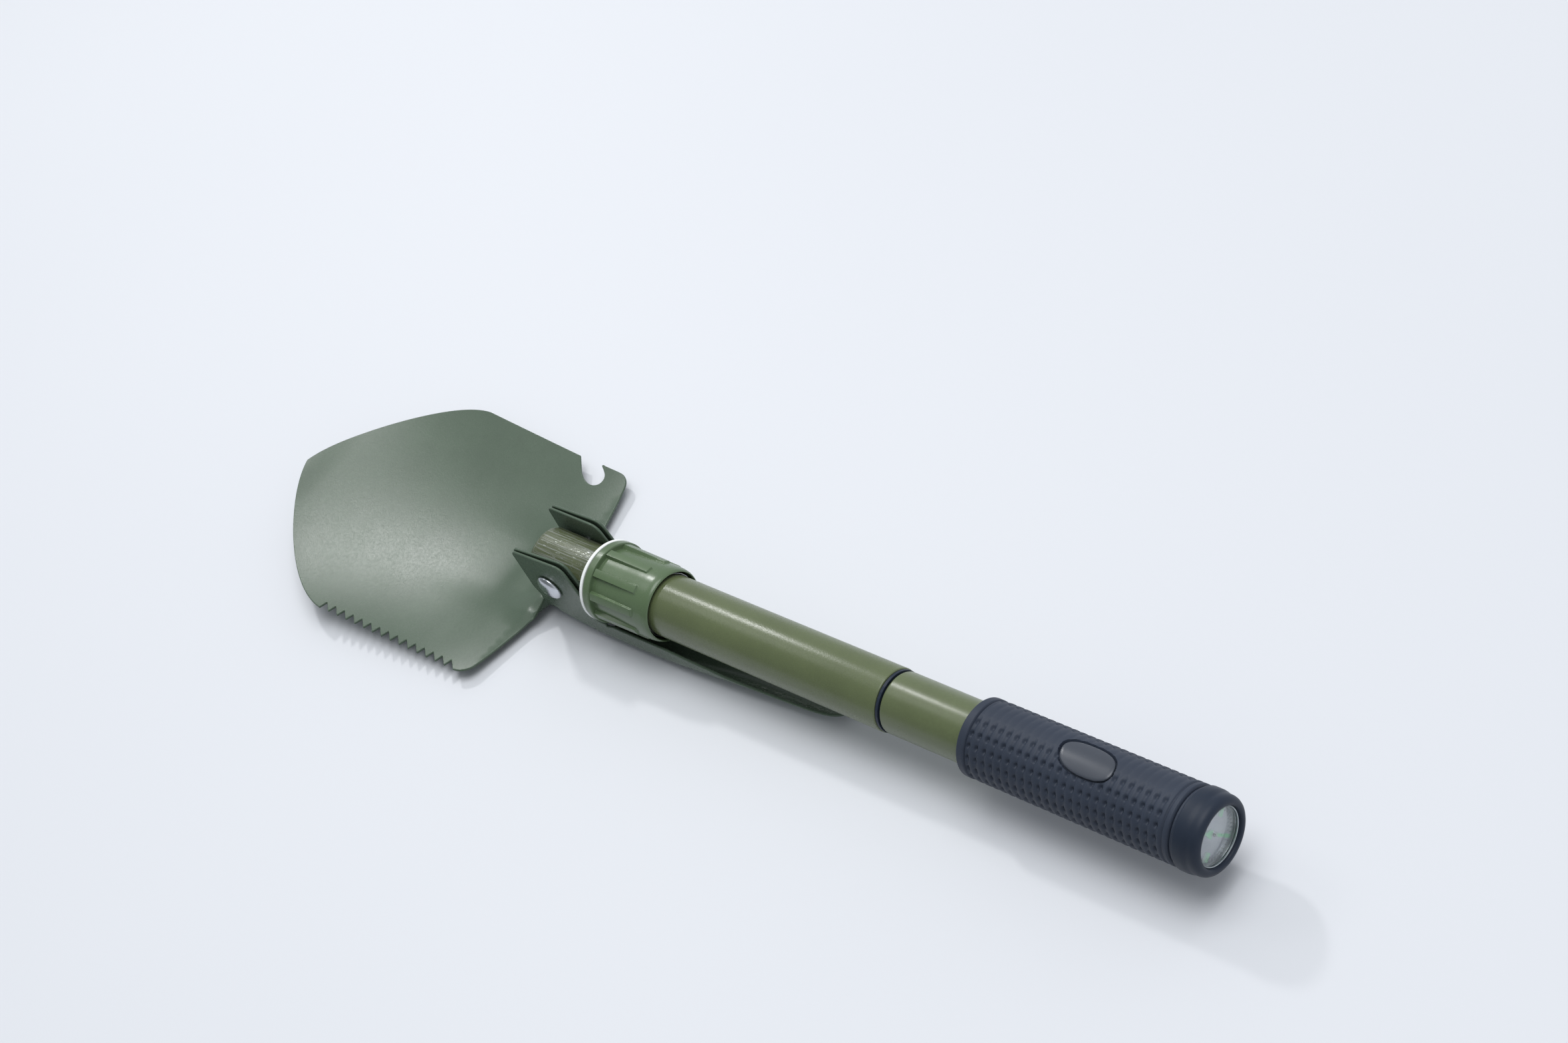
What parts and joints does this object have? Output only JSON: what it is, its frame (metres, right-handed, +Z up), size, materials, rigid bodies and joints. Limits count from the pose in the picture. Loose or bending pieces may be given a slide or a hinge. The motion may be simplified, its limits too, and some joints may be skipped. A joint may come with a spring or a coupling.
{
  "type": "folding camp shovel",
  "caption": "Compact folding camp shovel with a toothed dished blade, a stowed pick, a screw collar, a two-part handle and a compass cap.",
  "frame": {"origin": "under the middle of the bounding box, at the height of the pick's flat underside", "axes": "+X along the handle to the compass cap, +Z up out of the blade's hollow face, the toothed edge on the -Y side"},
  "size_m": [0.4354, 0.1016, 0.038],
  "materials": {
    "blade_paint": "satin grey-olive powder coat",
    "tube_paint": "satin olive powder coat",
    "green_plastic": "satin moulded plastic",
    "rivet_chrome": "polished",
    "bare_steel": "turned",
    "white_nylon": "smooth nylon",
    "grip_rubber": "moulded, ribbed",
    "badge_plastic": "smooth",
    "black_plastic": "satin gloss",
    "compass_silver": "satin",
    "dial_print": "pale dial with green luminous marks",
    "compass_glass": "clear"
  },
  "bodies": {
    "handle": {"hinge_core": "tube_paint", "pivot_rivet": "rivet_chrome", "front_tube": "tube_paint", "collar_thread": "bare_steel", "joint_socket": "bare_steel"},
    "blade": {"blade": "blade_paint"},
    "pick": {"pick": "blade_paint"},
    "collar_slide": {"collar_washer": "white_nylon"},
    "collar": {"lock_collar": "green_plastic"},
    "joint_slide": {"joint_washer": "black_plastic"},
    "rear_section": {"rear_tube": "tube_paint", "joint_screw": "black_plastic", "joint_plug": "black_plastic", "grip": "grip_rubber", "grip_badge": "badge_plastic", "end_bush": "bare_steel"},
    "cap_slide": {"cap_seal": "grip_rubber"},
    "cap": {"cap_housing": "black_plastic", "compass_case": "compass_silver", "compass_pivot": "bare_steel", "compass_lens": "compass_glass", "compass_bezel": "compass_silver"},
    "compass": {"compass_dial": "dial_print"}
  },
  "joints": [
    {"name": "blade_fold", "type": "hinge", "parent": "handle", "child": "blade", "pos_m": [-0.06325, 0, 0.0234], "axis": [0, 1, 0], "range_deg": [0, 175]},
    {"name": "pick_swing", "type": "hinge", "parent": "handle", "child": "pick", "pos_m": [-0.06325, 0, 0.0234], "axis": [0, 1, 0], "range_deg": [0, 60]},
    {"name": "collar_travel", "type": "slide", "parent": "handle", "child": "collar_slide", "axis": [1, 0, 0], "range_m": [0, 0.01]},
    {"name": "collar_spin", "type": "hinge", "parent": "collar_slide", "child": "collar", "pos_m": [-0.02775, 0, 0.0224], "axis": [1, 0, 0], "range_deg": [0, 1200]},
    {"name": "handle_travel", "type": "slide", "parent": "handle", "child": "joint_slide", "axis": [1, 0, 0], "range_m": [0, 0.02]},
    {"name": "handle_spin", "type": "hinge", "parent": "joint_slide", "child": "rear_section", "pos_m": [0.14575, 0, 0.0224], "axis": [1, 0, 0], "range_deg": [0, 2880]},
    {"name": "cap_travel", "type": "slide", "parent": "rear_section", "child": "cap_slide", "axis": [1, 0, 0], "range_m": [0, 0.01]},
    {"name": "cap_spin", "type": "hinge", "parent": "cap_slide", "child": "cap", "pos_m": [0.21175, 0, 0.0224], "axis": [1, 0, 0], "range_deg": [0, 1800]},
    {"name": "compass_turn", "type": "hinge", "parent": "cap", "child": "compass", "pos_m": [0.2126, 0, 0.0224], "axis": [1, 0, 0], "continuous": true}
  ],
  "couplings": [
    {"joint": "collar_spin", "follows": "collar_travel", "rad_per_m": 2094.4},
    {"joint": "handle_spin", "follows": "handle_travel", "rad_per_m": 2513.3},
    {"joint": "cap_spin", "follows": "cap_travel", "rad_per_m": 3141.6}
  ]
}
